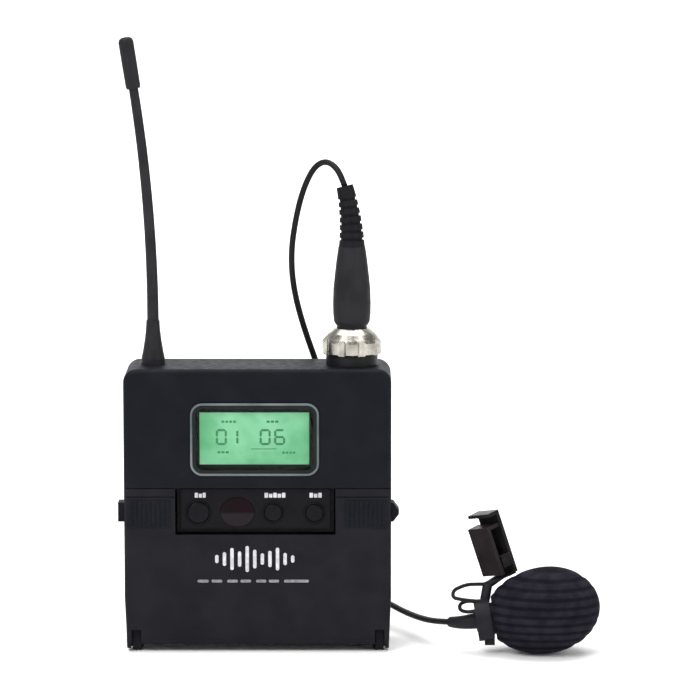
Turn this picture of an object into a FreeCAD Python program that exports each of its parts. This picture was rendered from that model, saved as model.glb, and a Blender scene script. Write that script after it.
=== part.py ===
"""Lavalier microphone kit: bodypack transmitter, plugged-in cord and clip-on microphone.

Millimetres. X runs to the right of the pack's front, Y runs from the front to the back and Z runs up.
The origin is the middle of the pack's footprint, on the surface that it stands on.
"""

import FreeCAD, Part
import math
import os

V = FreeCAD.Vector
os.makedirs("parts", exist_ok=True)

# Case
HALF_W = 32.4
HEIGHT = 69.6
HALF_D = 10.0
BASE_Z = 1.8
WALL = 1.5
TOP_CORNER_R = 3.3
EDGE_R = 1.2
TAPER_TOP_Z = 13.5
TAPER = 0.5
SPLIT_Y = -0.9
UPPER_FRONT_Z = 40.6
RUN = 0.05
INNER_D = HALF_D - WALL
REAR_FOOT = [(28.4, 2.2), (28.9, 0), (31.2, 0), (31.6, 2.2)]
REAR_FOOT_Y = (5.5, 9.2)
FRONT_FOOT = [(26.8, 2.2), (26.8, BASE_Z), (28.7, 0), (30.0, 0), (30.0, 2.2)]
FRONT_FOOT_Y = (-4.9, -3.0)

# Battery cover and its hinge
COVER_WALL = 1.2
COVER_REAR_Y = -1.0
COVER_SWING_R = 36.9
COVER_CURVE_Z = 11.0
COVER_TUCK = 1.0
COVER_LIP_Z = 1.9
COVER_IN_HALF_W = 31.0
HINGE_Y = -6.8
HINGE_Z = 3.6
KNUCKLE_R = 3.1
PIN_R = 0.9
RECESS_X = (-19.95, 18.9)
RECESS_Z = 29.1
EAR_X = (28.6, 30.6)
GROOVE_Z = 38.4

# Latches
LATCH_TRAVEL = 1.2
LATCH_Z = (31.3, 37.4)
KNOB_Z = (32.1, 36.8)
GRIP_Z = (31.0, 37.6)
GRIP_X = (21.25, 31.3)
GRIP_RIBS = 9
KNOB_Y = (-8.4, -4.0)
LEFT_KNOB_OUT = 1.5
RIGHT_KNOB_OUT = 1.9
LATCH_SPRING_X = (21.45, 25.45)

# Control panel
PANEL_X = (-19.6, 18.6)
PANEL_Z = (29.5, 40.3)
PANEL_BACK_Y = -7.2
PANEL_FACE_Y = -9.1
PANEL_BORDER_Y = -8.2
PANEL_STEP = 0.9
BUTTONS = {
    "power_button": (-14.35, 34.5, 2.6),
    "mode_button": (3.8, 34.5, 2.1),
    "set_button": (13.8, 34.4, 2.1),
}
BUTTON_FACE_Y = -9.55
IR_CENTRE = (-4.9, 34.6)
IR_HALF = (4.15, 3.5)
KEY_BOARD_Y = (-4.9, -4.1)

# Display
BEZEL_X = (-16.3, 15.0)
BEZEL_Z = (43.6, 61.5)
BEZEL_R = 3.0
BEZEL_BAND = 1.5
BEZEL_FACE_Y = -10.2
WINDOW_Y = (-9.5, -8.7)
DISPLAY_Y = (-8.3, -7.9)
LCD_FRAME_Y = (-8.4, -5.2)
LCD_POST = 2.0
DISPLAY_X = (-14.0, 12.5)
DISPLAY_Z = (46.2, 58.9)

# Chassis and batteries
CHASSIS_HALF_W = 30.3
CHASSIS_WALL = 1.3
CHASSIS_FRONT_Y = -6.85
CHASSIS_REAR_Y = 8.2
CELL_R = 7.1
CELL_L = 49.3
NUB_R = 2.6
NUB_L = 1.2
CELL_Y = 0.8
CELL_LOW_Z = 11.2
CELL_HIGH_Z = 25.6
CONTACT_T = 0.4
CONTACT_Y = (-3.4, 5.0)
CONTACT_HALF_H = 4.2
PIP_R = 2.2

# Board
BOARD_X = (-29.0, 29.0)
BOARD_Z = (42.6, 62.5)
BOARD_Y = (1.0, 2.2)
BOARD_SCREWS = ((-10.0, 60.6), (8.0, 44.6))

# Antenna
ANTENNA_X = -25.5
ANTENNA_HOLE_R = 2.65
FLARE_TOP_Z = 80.4
FLARE = [(2.9, HEIGHT), (2.85, 71.0), (2.45, 73.0), (2.05, 75.5), (1.75, 78.0), (1.6, FLARE_TOP_Z)]
WHIP_TOP_Z = 136.6
WHIP_LEAN = 4.3
WHIP_R = (1.42, 1.15)
CAP_L = 12.6
CAP_R = 1.85
CAP = [(1.6, 0), (1.8, 0.5), (CAP_R, CAP_L / 2), (CAP_R, CAP_L - 1.2), (1.6, CAP_L - 0.5), (1.0, CAP_L - 0.1)]

# Plug and socket
PLUG_X = 22.85
SOCKET_HOLE_R = 5.6
NUT_TOP_Z = 72.05
RING_LOW_Z = 72.2
RING_BAND_Z = 75.6
RING_TOP_Z = 78.5
RING_R = 7.2
RING_NECK_R = 4.25
RING_LOBES = 9
FLUTE_R = 1.35
FLUTE_OUT = 0.75
SLEEVE_R = 5.1
PLUG_NECK_R = 3.65
PLUG_FLANGE_Z = (75.2, 75.8)
BOOT_LOW_Z = 79.3
RELIEF_LOW_Z = 98.4
BOOT = [
    (3.9, BOOT_LOW_Z), (4.35, 80.1), (4.55, 82.0), (4.6, 84.5), (4.5, 88.0), (4.15, 91.5), (3.75, 95.0),
    (3.25, RELIEF_LOW_Z),
]
RELIEF_TOP = V(21.1, 0.7, 113.0)
PLUG_RELIEF_R = (3.15, 2.05)
PLUG_RELIEF_GROOVES = 6

# Screws
CASE_SCREWS_HIGH = ((-15.0, 66.15), (10.0, 66.15))
CASE_SCREWS_LOW = ((-27.3, 18.4), (27.3, 18.4))
SHANK_R = 0.95
HEAD_R = 1.75
HEAD_Y = (9.0, 9.9)
BOSS_R = 1.9
BELT_BOSS_R = 2.6
BOARD_BOSS_R = 1.8

# Belt clip
CLIP_HALF_W = 8.0
CLIP_T = 0.8
CLIP_TOP_Z = 64.0
CLIP_LOW_Z = 15.0
CLIP_GAP_Y = 16.4
CLIP_FOOT_Z = 49.5
CLIP_KICK_Z = 24.0
CLIP_KICK = 1.6
BELT_SCREW_Z = (53.0, 60.0)

# Microphone, along its own axis from the middle of the windscreen
MIC_TILT = 9.0
FOAM_R = 10.5
FOAM_TAIL = 15.0
FOAM_NOSE = 13.0
FOAM_START = -12.9
FLOOR_GAP = 0.02
BARREL_R = 3.9
BARREL_S = (-17.5, 2.4)
FOAM_FIT = 0.2
RING_S = (-17.35, -13.6)
RING_OUT_R = 5.1
RELIEF_BEND = 55.0
RELIEF_L = 7.0
RELIEF_R = (1.95, 1.3)

# Tie clip, in its own frame: x opens the jaw, y runs along the pin, z runs to the tips
TIE_PIVOT = V(58.0, -7.6, 22.2)
TIE_LEAN = 18.0
TIE_TURN = 220.0
JAW_HALF_W = 3.7
JAW_T = 0.8
REAR_JAW_X = -2.5
FRONT_JAW_X = 1.7
REAR_JAW_Z = (-3.6, 12.3)
FRONT_JAW_Z = (-2.9, 9.3)
TIE_PIN_R = 0.6
ARM_FOOT = V(0.2, 0.6, 3.6)
ARM_R = (1.2, 0.85)
TONGUE_HALF_W = (2.8, 1.3)
TONGUE_T = 0.5
TONGUE_DROP = 0.6
LOOP_WIRE_R = 0.45
UPPER_LOOP = [
    (55.6, -8.9, 16.8),
    (50.6, -9.4, 16.8),
    (47.5, -10.2, 15.5),
    (47.3, -11.2, 13.9),
    (50.0, -11.6, 13.4),
    (54.6, -11.2, 12.9),
]
LOWER_LOOP = [
    (53.6, -8.9, 12.4),
    (50.8, -8.9, 12.6),
    (49.0, -9.7, 12.0),
    (49.1, -11.4, 10.8),
    (50.9, -12.6, 10.6),
    (53.6, -13.2, 11.2),
]

# Cord
CORD_D = 1.5
CORD_R = CORD_D / 2
COIL_CENTRE = (9.9, 35.6)
COIL_R = (8.0, 14.0)
COIL_H = 7.5
PLUG_ROUTE = [
    (21.1, 0.7, 113.0),
    (20.2, 1.3, 115.5),
    (18.6, 2.7, 117.8),
    (16.3, 4.9, 118.7),
    (13.9, 7.0, 117.2),
    (11.9, 8.1, 113.7),
    (10.2, 8.9, 108.8),
    (8.9, 9.7, 102.8),
    (8.0, 10.7, 96.2),
    (8.2, 11.9, 89.0),
    (9.6, 13.3, 81.6),
    (12.0, 14.6, 73.6),
    (15.6, 15.4, 63.5),
    (19.8, 16.0, 50.0),
    (23.8, 17.2, 35.5),
    (26.4, 18.9, 21.5),
    (26.4, 20.8, 10.5),
    (23.2, 21.9, 3.0),
    (18.8, 22.3, 0.8),
    (14.0, 22.35, 0.76),
]
MIC_ROUTE = [
    (23.7, 38.1, 6.7),
    (27.5, 30.7, 6.3),
    (32.3, 21.9, 5.5),
    (36.4, 13.3, 5.0),
    (40.6, 4.7, 5.2),
    (44.0, -2.3, 6.1),
]


def save(name, shape):
    """Writes one named piece and says what it is."""
    shape.exportStep("parts/" + name + ".step")
    print(f"{name:20s} solids {len(shape.Solids)} volume {shape.Volume:10.2f} valid {shape.isValid()}")


def box(x, y, z):
    """A block from three (low, high) pairs."""
    return Part.makeBox(x[1] - x[0], y[1] - y[0], z[1] - z[0], V(x[0], y[0], z[0]))


def rod(radius, start, end):
    """A round bar between two points."""
    return Part.makeCylinder(radius, (end - start).Length, start, end - start)


def tube(outer, inner, start, end):
    return rod(outer, start, end).cut(rod(inner, start, end))


def rod_y(radius, x, z, y):
    return rod(radius, V(x, y[0], z), V(x, y[1], z))


def fused(shapes):
    return shapes[0].multiFuse(shapes[1:]).removeSplitter()


def prism(outline, y):
    """A solid with this (x, z) outline, from y[0] to y[1]."""
    points = [V(px, y[0], pz) for px, pz in outline]
    return Part.Face(Part.makePolygon(points + [points[0]])).extrude(V(0, y[1] - y[0], 0))


def mirrored(shape):
    return shape.mirror(V(0, 0, 0), V(1, 0, 0))


def turned(profile, origin, direction):
    """Spins a closed (radius, height) outline about an axis through the origin given."""
    points = [V(r, 0, h) for r, h in profile]
    face = Part.Face(Part.makePolygon(points + [points[0]]))
    solid = face.revolve(V(0, 0, 0), V(0, 0, 1), 360)
    solid = Part.makeSolid(solid) if solid.ShapeType == "Shell" else solid
    solid.Placement = FreeCAD.Placement(origin, FreeCAD.Rotation(V(0, 0, 1), direction))
    return solid


def rounded_plate(x, z, radius, y):
    """A plate in the X-Z plane with four round corners, from y[0] to y[1]."""
    plate = box(x, y, z)
    upright = [e for e in plate.Edges if abs(abs(e.tangentAt(e.FirstParameter).y) - 1) < 1e-6]
    return plate.makeFillet(radius, upright)


def tapered_bend(start, heading, side, angle, length, radii):
    """A round bar that narrows along an arc: it leaves along heading and bends towards side."""
    bend_r = length / math.radians(angle)

    def at(t):
        a = math.radians(angle) * t
        point = start + heading * (bend_r * math.sin(a)) + side * (bend_r * (1 - math.cos(a)))
        return point, heading * math.cos(a) + side * math.sin(a)

    across = heading.cross(side)
    sections = []
    steps = 6
    for i in range(steps + 1):
        point, tangent = at(i / steps)
        radius = radii[0] + (radii[1] - radii[0]) * i / steps
        ring = Part.Wire(Part.makeCircle(radius))
        facing = FreeCAD.Rotation(across, tangent.cross(across), tangent, "ZXY")
        ring.Placement = FreeCAD.Placement(point, facing)
        sections.append(ring)
    return Part.makeLoft(sections, True), at


def route_wire(points):
    """Straight runs joined by tangent arcs. Prints the arcs' radii and returns the wire."""
    edges = []
    here = points[0]
    radii = []
    for before, corner, after in zip(points, points[1:], points[2:]):
        into = (corner - before).normalize()
        out = (after - corner).normalize()
        turn = into.getAngle(out)
        trim = 0.45 * min((corner - before).Length, (after - corner).Length)
        radius = trim / math.tan(turn / 2)
        radii.append(radius)
        a = corner - into * trim
        b = corner + out * trim
        to_centre = (out - into).normalize()
        centre = corner + to_centre * (radius / math.cos(turn / 2))
        middle = centre - to_centre * radius
        edges.append(Part.LineSegment(here, a).toShape())
        edges.append(Part.Arc(a, middle, b).toShape())
        here = b
    edges.append(Part.LineSegment(here, points[-1]).toShape())
    print("  arc radii:", [round(r, 1) for r in radii])
    return Part.Wire(edges)


def swept(points, radius):
    """A round bar along a route."""
    wire = route_wire(points)
    start = wire.Edges[0]
    ring = Part.Wire(Part.makeCircle(radius, points[0], start.tangentAt(start.FirstParameter)))
    bar = wire.makePipeShell([ring], True, False)
    filled = math.pi * radius ** 2 * wire.Length
    print(f"  length {wire.Length:.1f}, volume {bar.Volume:.2f}, a straight bar's {filled:.2f}")
    return bar


# ---- Case -------------------------------------------------------------------


def case_outline(inset):
    """The front outline of the case: round top corners and sides that draw in below."""
    w = HALF_W - inset
    top = HEIGHT - inset
    low = BASE_Z + inset
    r = TOP_CORNER_R - inset * 0.6
    k = r * math.sqrt(0.5)
    edges = [
        Part.LineSegment(V(-w + TAPER, 0, low), V(-w, 0, TAPER_TOP_Z)).toShape(),
        Part.LineSegment(V(-w, 0, TAPER_TOP_Z), V(-w, 0, top - r)).toShape(),
        Part.Arc(V(-w, 0, top - r), V(-w + r - k, 0, top - r + k), V(-w + r, 0, top)).toShape(),
        Part.LineSegment(V(-w + r, 0, top), V(w - r, 0, top)).toShape(),
        Part.Arc(V(w - r, 0, top), V(w - r + k, 0, top - r + k), V(w, 0, top - r)).toShape(),
        Part.LineSegment(V(w, 0, top - r), V(w, 0, TAPER_TOP_Z)).toShape(),
        Part.LineSegment(V(w, 0, TAPER_TOP_Z), V(w - TAPER, 0, low)).toShape(),
        Part.LineSegment(V(w - TAPER, 0, low), V(-w + TAPER, 0, low)).toShape(),
    ]
    return Part.Wire(edges)


def case_block(inset):
    y = HALF_D - inset
    outline = case_outline(inset)
    outline.translate(V(0, -y, 0))
    return Part.Face(outline).extrude(V(0, 2 * y, 0))


def case_skin():
    """The outside of the case, its front and back edges rounded."""
    block = case_block(0)
    rims = [e for e in block.Edges if all(abs(abs(v.Y) - HALF_D) < 1e-6 for v in e.Vertexes)]
    rims = [e for e in rims if abs(e.Vertexes[0].Y - e.Vertexes[-1].Y) < 1e-6]
    return block.makeFillet(EDGE_R, rims)


WIDE = (-50.0, 50.0)


def both_sides(shape):
    return [shape, mirrored(shape)]


def screw_hole(x, z, radius, y):
    return rod_y(radius, x, z, y)


def rear_case(skin, inner):
    shell = skin.common(box(WIDE, (SPLIT_Y, 20), (0, 80))).cut(inner)
    add = []
    for x, z in CASE_SCREWS_HIGH:
        add.append(rod_y(BOSS_R, x, z, (3.0, INNER_D + 0.2)))
    for x, z in BOARD_SCREWS:
        add.append(rod_y(BOARD_BOSS_R, x, z, (BOARD_Y[1], INNER_D + 0.2)))
    for z in BELT_SCREW_Z:
        add.append(rod_y(BELT_BOSS_R, 0, z, (5.4, INNER_D + 0.2)))
    add += both_sides(prism(REAR_FOOT, REAR_FOOT_Y))
    shell = fused([shell] + add)
    for x, z in CASE_SCREWS_HIGH + CASE_SCREWS_LOW:
        shell = shell.cut(screw_hole(x, z, SHANK_R + RUN, (2, 12)))
        shell = shell.cut(screw_hole(x, z, HEAD_R + 0.1, (HEAD_Y[0], 12)))
    for x, z in BOARD_SCREWS:
        shell = shell.cut(screw_hole(x, z, 0.9, (0, 7.5)))
    for z in BELT_SCREW_Z:
        shell = shell.cut(screw_hole(0, z, 1.25, (5.9, 12)))
    for x, r in ((ANTENNA_X, ANTENNA_HOLE_R), (PLUG_X, SOCKET_HOLE_R)):
        shell = shell.cut(rod(r, V(x, 0, 60), V(x, 0, 75)))
    return shell


def front_case(skin, inner):
    shell = skin.common(box(WIDE, (-20, SPLIT_Y), (UPPER_FRONT_Z, 80)))
    shell = shell.cut(inner.common(box(WIDE, (-20, 20), (UPPER_FRONT_Z + 1.2, 80))))
    for x, z in CASE_SCREWS_HIGH:
        shell = shell.fuse(rod_y(BOSS_R, x, z, (-INNER_D - 0.2, 3.0)))
    shell = shell.removeSplitter()
    gap = RUN
    opening = rounded_plate(
        (BEZEL_X[0] - gap, BEZEL_X[1] + gap), (BEZEL_Z[0] - gap, BEZEL_Z[1] + gap), BEZEL_R + gap, (-12, -8)
    )
    shell = shell.cut(opening)
    for x, z in CASE_SCREWS_HIGH:
        shell = shell.cut(screw_hole(x, z, SHANK_R + 0.02, (-5.5, 5)))
    for x, r in ((ANTENNA_X, ANTENNA_HOLE_R), (PLUG_X, SOCKET_HOLE_R)):
        shell = shell.cut(rod(r, V(x, 0, 60), V(x, 0, 75)))
    return shell


def chassis():
    """The inner frame: battery bay floor, end walls, roof and the ears that carry the hinge."""
    w = CHASSIS_HALF_W
    y = (CHASSIS_FRONT_Y, CHASSIS_REAR_Y)
    wall = box((w - CHASSIS_WALL, w), y, (3.9, 40.3))
    parts = both_sides(wall)
    parts.append(box((-w, w), (-4.0, SPLIT_Y - 0.1), (BASE_Z, 3.9)))
    parts.append(box((-w, w), (-7.7, CHASSIS_REAR_Y), (3.35, 4.0)))
    parts.append(box((-w, w), (PANEL_BACK_Y, CHASSIS_REAR_Y), (39.3, 40.4)))
    ear = box(EAR_X, (-8.0, -3.0), (0.0, 7.2))
    ear = ear.makeFillet(1.6, [e for e in ear.Edges if abs(abs(e.tangentAt(0).x) - 1) < 1e-6])
    parts += both_sides(ear)
    parts += both_sides(prism(FRONT_FOOT, FRONT_FOOT_Y))
    x, z = CASE_SCREWS_LOW[1]
    y = (SPLIT_Y, CHASSIS_REAR_Y)
    boss = fused([rod_y(BOSS_R, x, z, y), box((x, CHASSIS_HALF_W - 0.5), y, (z - 0.9, z + 0.9))])
    parts += both_sides(boss)
    frame = fused(parts)
    for x, z in CASE_SCREWS_LOW:
        frame = frame.cut(screw_hole(x, z, SHANK_R + 0.02, (0.5, 12)))
    hole = rod(PIN_R + 0.02, V(26, HINGE_Y, HINGE_Z), V(33, HINGE_Y, HINGE_Z))
    for h in both_sides(hole):
        frame = frame.cut(h)
    return frame


def cover_profile(offset, top):
    """The cover's front as seen from the side: upright, then tucked in below."""
    front = -HALF_D + offset
    drop = COVER_CURVE_Z - COVER_LIP_Z
    end = V(0, front + COVER_TUCK, COVER_LIP_Z)
    mid = V(0, front + COVER_TUCK * 0.25, COVER_CURVE_Z - drop / 2)
    low = COVER_LIP_Z - (2.0 if offset else 0.0)
    edges = [
        Part.LineSegment(V(0, front, top), V(0, front, COVER_CURVE_Z)).toShape(),
        Part.Arc(V(0, front, COVER_CURVE_Z), mid, end).toShape(),
    ]
    tail = [end, V(0, end.y, low), V(0, 0, low), V(0, 0, top), V(0, front, top)]
    for a, b in zip(tail, tail[1:]):
        if (b - a).Length > 1e-6:
            edges.append(Part.LineSegment(a, b).toShape())
    return Part.Face(Part.Wire(edges))


def battery_cover(skin):
    half = WIDE[1]
    outer = cover_profile(0, 45.0)
    outer.translate(V(-half, 0, 0))
    outer = outer.extrude(V(2 * half, 0, 0)).common(skin)
    outer = outer.common(box(WIDE, (-20, COVER_REAR_Y), (0, 60)))
    inner = cover_profile(COVER_WALL, 45.0)
    inner.translate(V(-COVER_IN_HALF_W, 0, 0))
    inner = inner.extrude(V(2 * COVER_IN_HALF_W, 0, 0))
    shell = outer.cut(inner)
    swing = rod(COVER_SWING_R, V(-half, HINGE_Y, HINGE_Z), V(half, HINGE_Y, HINGE_Z))
    shell = shell.common(swing)
    shell = shell.cut(box(WIDE, (-7.4, 0), (0, HINGE_Z)))
    knuckle = rod(KNUCKLE_R, V(COVER_IN_HALF_W, HINGE_Y, HINGE_Z), V(HALF_W - TAPER, HINGE_Y, HINGE_Z))
    shell = fused([shell] + both_sides(knuckle))
    shell = shell.cut(box(RECESS_X, (-12, -8), (RECESS_Z, 60)))
    for ear in both_sides(box((EAR_X[0] - 0.15, EAR_X[1] + 0.15), (-12, -7.0), (0, 5.6))):
        shell = shell.cut(ear)
    hole = rod(PIN_R + RUN, V(30, HINGE_Y, HINGE_Z), V(34, HINGE_Y, HINGE_Z))
    for h in both_sides(hole):
        shell = shell.cut(h)
    groove = box(WIDE, (-12, -HALF_D + 0.35), (GROOVE_Z - 0.25, GROOVE_Z + 0.25))
    shell = shell.cut(groove)
    neck = box((GRIP_X[0] + 2.2, 28.1), (-12, -8), (33.0, 36.0))
    knob = box((30, 34), (-8.5, -3.9), (KNOB_Z[0] - 0.1, KNOB_Z[1] + 0.1))
    for window in both_sides(neck) + both_sides(knob):
        shell = shell.cut(window)
    rib = box((20.5, 21.4), (-HALF_D + COVER_WALL, -6.3), (31.8, 36.9))
    return fused([shell] + both_sides(rib))


def latch(knob_out, pointed):
    """One latch, drawn for the right side: slab behind the cover, neck, ribbed grip and side knob."""
    slab = box((25.5, 31.0 - RUN), (-8.7, -7.2), (LATCH_Z[0], LATCH_Z[1]))
    neck = box((25.0, 28.0), (-10.1, -8.6), (33.1, 35.9))
    grip = box(GRIP_X, (-10.3, -10.02), GRIP_Z)
    parts = [slab, neck, grip]
    pitch = (GRIP_X[1] - GRIP_X[0]) / GRIP_RIBS
    for i in range(GRIP_RIBS):
        left = GRIP_X[0] + pitch * (i + 0.25)
        parts.append(box((left, left + pitch * 0.5), (-10.5, -10.25), (GRIP_Z[0] + 0.4, GRIP_Z[1] - 0.4)))
    out = HALF_W + knob_out
    if pointed:
        mid = (KNOB_Z[0] + KNOB_Z[1]) / 2
        low, high = KNOB_Z
        outline = [(32.0, low), (32.9, low), (out, mid - 0.5), (out, mid + 0.5), (32.9, high), (32.0, high)]
        knob = prism(outline, KNOB_Y)
    else:
        knob = box((32.0, out), KNOB_Y, KNOB_Z)
    parts.append(knob)
    parts.append(box((30.5, 32.3), (KNOB_Y[0], -7.2), KNOB_Z))
    return fused(parts)


def latch_spring():
    """The outer shape of the small coil spring behind a latch, for the right side."""
    z = (LATCH_Z[0] + LATCH_Z[1]) / 2
    ends = [V(x, -7.7, z) for x in LATCH_SPRING_X]
    return tube(0.9, 0.55, ends[0], ends[1])


# ---- Control panel ----------------------------------------------------------


def ellipse_plate(half, y):
    curve = Part.Ellipse(V(0, 0, 0), half[0], half[1]).toShape()
    face = Part.Face(Part.Wire([curve]))
    face.rotate(V(0, 0, 0), V(1, 0, 0), 90)
    face.translate(V(IR_CENTRE[0], y[0], IR_CENTRE[1]))
    return face.extrude(V(0, y[1] - y[0], 0))


def control_panel():
    step = PANEL_STEP
    border = box(PANEL_X, (PANEL_BORDER_Y, PANEL_BACK_Y), PANEL_Z)
    x = (PANEL_X[0] + step, PANEL_X[1] - step)
    plateau = box(x, (PANEL_FACE_Y, PANEL_BORDER_Y), (PANEL_Z[0] + step, PANEL_Z[1]))
    posts = [box((x, x + 1.2), (PANEL_BACK_Y, KEY_BOARD_Y[0]), (38.0, 39.2)) for x in (-17.6, 15.6)]
    panel = fused([border, plateau] + posts)
    for x, z, r in BUTTONS.values():
        panel = panel.cut(rod_y(r + 0.12, x, z, (-12, PANEL_BACK_Y)))
    grown = (IR_HALF[0] + RUN, IR_HALF[1] + RUN)
    return panel.cut(ellipse_plate(grown, (-12, PANEL_BACK_Y)))


def push_button(x, z, r):
    cap = rod_y(r, x, z, (BUTTON_FACE_Y, -7.05))
    rim = [e for e in cap.Edges if abs(e.BoundBox.YMin - BUTTON_FACE_Y) < 1e-3 and e.BoundBox.YLength < 1e-3]
    cap = cap.makeFillet(0.35, rim)
    flange = rod_y(r + 0.5, x, z, (-7.1, -6.6))
    return fused([cap, flange])


def key_board():
    return box((-18.0, 17.0), KEY_BOARD_Y, (31.2, 39.2))


def tact_switches():
    made = []
    for x, z, r in BUTTONS.values():
        body = box((x - 1.8, x + 1.8), (-5.9, KEY_BOARD_Y[0]), (z - 1.8, z + 1.8))
        made.append(body.fuse(rod_y(0.8, x, z, (-6.15, -5.9))).removeSplitter())
    return Part.makeCompound(made)


# ---- Display and board ------------------------------------------------------


def lcd_bezel():
    ring = rounded_plate(BEZEL_X, BEZEL_Z, BEZEL_R, (BEZEL_FACE_Y, -8.6))
    rim = [e for e in ring.Edges if abs(e.BoundBox.YMax - BEZEL_FACE_Y) < 1e-3]
    ring = ring.makeFillet(0.3, rim)
    band = BEZEL_BAND
    hole = rounded_plate(
        (BEZEL_X[0] + band, BEZEL_X[1] - band), (BEZEL_Z[0] + band, BEZEL_Z[1] - band), 1.8, (-12, -8)
    )
    return ring.cut(hole)


def lcd_window():
    band = BEZEL_BAND + RUN
    return rounded_plate(
        (BEZEL_X[0] + band, BEZEL_X[1] - band), (BEZEL_Z[0] + band, BEZEL_Z[1] - band), 1.75, WINDOW_Y
    )


def lcd_frame():
    x = (BEZEL_X[0] + 0.4, BEZEL_X[1] - 0.4)
    z = (BEZEL_Z[0] + 0.4, BEZEL_Z[1] - 0.4)
    block = box(x, LCD_FRAME_Y, z)
    seat = box(
        (DISPLAY_X[0] - RUN, DISPLAY_X[1] + RUN), (-9, DISPLAY_Y[1]), (DISPLAY_Z[0] - RUN, DISPLAY_Z[1] + RUN)
    )
    parts = [block.cut(seat)]
    for px in (x[0], x[1] - LCD_POST):
        for pz in (z[0], z[1] - LCD_POST):
            parts.append(box((px, px + LCD_POST), (LCD_FRAME_Y[1], BOARD_Y[0]), (pz, pz + LCD_POST)))
    return fused(parts)


def lcd_display():
    return box(DISPLAY_X, DISPLAY_Y, DISPLAY_Z)


def main_board():
    board = box(BOARD_X, BOARD_Y, BOARD_Z)
    board = board.cut(box((16.5, 30), (0, 4), (56.0, 70)))
    for x, z in BOARD_SCREWS:
        board = board.cut(rod_y(SHANK_R, x, z, (0, 4)))
    return board


def rf_shield():
    can = box((-25.0, -13.0), (BOARD_Y[1], 5.2), (45.0, 59.5))
    return can.cut(box((-24.6, -13.4), (BOARD_Y[1], 4.8), (45.4, 59.1)))


def board_chips():
    back = [((4.5, 11.5), (49.0, 56.0)), ((14.5, 20.5), (45.0, 49.0)), ((-8.0, -4.2), (45.0, 48.0))]
    return Part.makeCompound([box(x, (BOARD_Y[1], 3.4), z) for x, z in back])


def board_screws():
    made = []
    for x, z in BOARD_SCREWS:
        head = rod_y(1.6, x, z, (BOARD_Y[0] - 0.9, BOARD_Y[0]))
        made.append(head.fuse(rod_y(0.85, x, z, (BOARD_Y[0], 6.8))).removeSplitter())
    return Part.makeCompound(made)


# ---- Batteries --------------------------------------------------------------


def cell(z, way):
    """One AA cell lying along X, its raised contact at the end that way points to."""
    start = V(-way * (CELL_L + NUB_L) / 2, CELL_Y, z)
    can = rod(CELL_R, start, start + V(way * CELL_L, 0, 0))
    nub = rod(NUB_R, start + V(way * CELL_L, 0, 0), start + V(way * (CELL_L + NUB_L), 0, 0))
    return can.fuse(nub).removeSplitter()


PLATE_X = (CHASSIS_HALF_W - CHASSIS_WALL - CONTACT_T, CHASSIS_HALF_W - CHASSIS_WALL)
CELL_END_X = (CELL_L + NUB_L) / 2


def contact_plates():
    """Spring-side and pip-side plates at both ends of the bay. The right ones form one bridge."""
    made = []
    for z, way in ((CELL_HIGH_Z, 1), (CELL_LOW_Z, -1)):
        for side in (-1, 1):
            x = sorted((side * PLATE_X[0], side * PLATE_X[1]))
            plate = box(x, CONTACT_Y, (z - CONTACT_HALF_H, z + CONTACT_HALF_H))
            if side == way:
                pip = rod(PIP_R, V(side * PLATE_X[0], CELL_Y, z), V(side * CELL_END_X, CELL_Y, z))
                plate = plate.fuse(pip)
            made.append(plate.removeSplitter())
    return Part.makeCompound(made)


def contact_springs():
    made = []
    for z, way in ((CELL_HIGH_Z, 1), (CELL_LOW_Z, -1)):
        a = V(-way * PLATE_X[0], CELL_Y, z)
        length = PLATE_X[0] - CELL_END_X
        cone = Part.makeCone(3.6, 2.2, length, a, V(way, 0, 0))
        made.append(cone.cut(Part.makeCone(3.0, 1.6, length, a, V(way, 0, 0))))
    return Part.makeCompound(made)


# ---- Fasteners --------------------------------------------------------------


def case_screws():
    """Cross-head screws through the back: two long ones into the front and two short ones low down."""
    made = []
    long_arm, short_arm, slot_y = 1.1, 0.18, (9.5, 10)
    for screws, tip_y in ((CASE_SCREWS_HIGH, -4.5), (CASE_SCREWS_LOW, 1.0)):
        for x, z in screws:
            screw = fused([rod_y(HEAD_R, x, z, HEAD_Y), rod_y(SHANK_R, x, z, (tip_y, HEAD_Y[0]))])
            for wide, tall in ((long_arm, short_arm), (short_arm, long_arm)):
                screw = screw.cut(box((x - wide, x + wide), slot_y, (z - tall, z + tall)))
            made.append(screw)
    return Part.makeCompound(made)


def hinge_pins():
    return Part.makeCompound(both_sides(rod(PIN_R, V(EAR_X[0], HINGE_Y, HINGE_Z), V(31.8, HINGE_Y, HINGE_Z))))


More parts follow.
